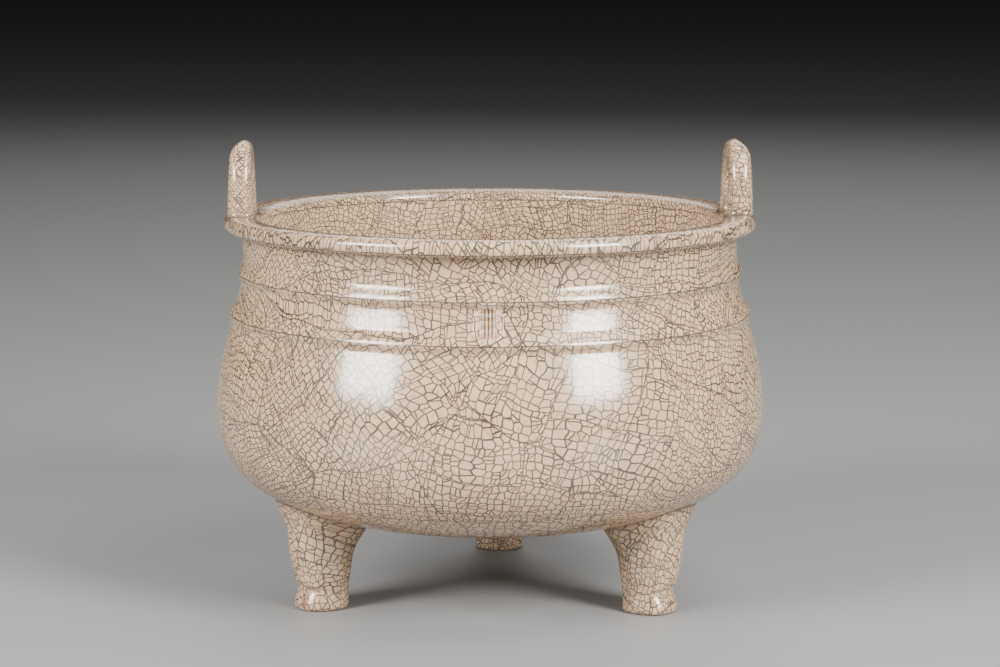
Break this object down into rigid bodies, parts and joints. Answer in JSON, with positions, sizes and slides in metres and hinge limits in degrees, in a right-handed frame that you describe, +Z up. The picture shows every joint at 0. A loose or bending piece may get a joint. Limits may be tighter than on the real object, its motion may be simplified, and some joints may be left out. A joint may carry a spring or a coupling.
{
  "type": "crackle-glazed tripod censer",
  "caption": "Round hollow ceramic censer with a rolled lip, raised rings, upright loop ears on the lip and short animal-style feet, in cream crackle glaze.",
  "frame": {"origin": "on the bowl's axis, at the level of the feet's soles", "axes": "+Z up along the bowl's axis, -Y towards the small relief at the front, -X and +X towards the loop ears"},
  "size_m": [0.1898, 0.1898, 0.1575],
  "materials": {
    "crackle_glaze": "glossy cream glaze with a net of dark grey-brown cracks and finer orange ones between them"
  },
  "bodies": {
    "root": {"censer": "crackle_glaze"}
  },
  "joints": []
}
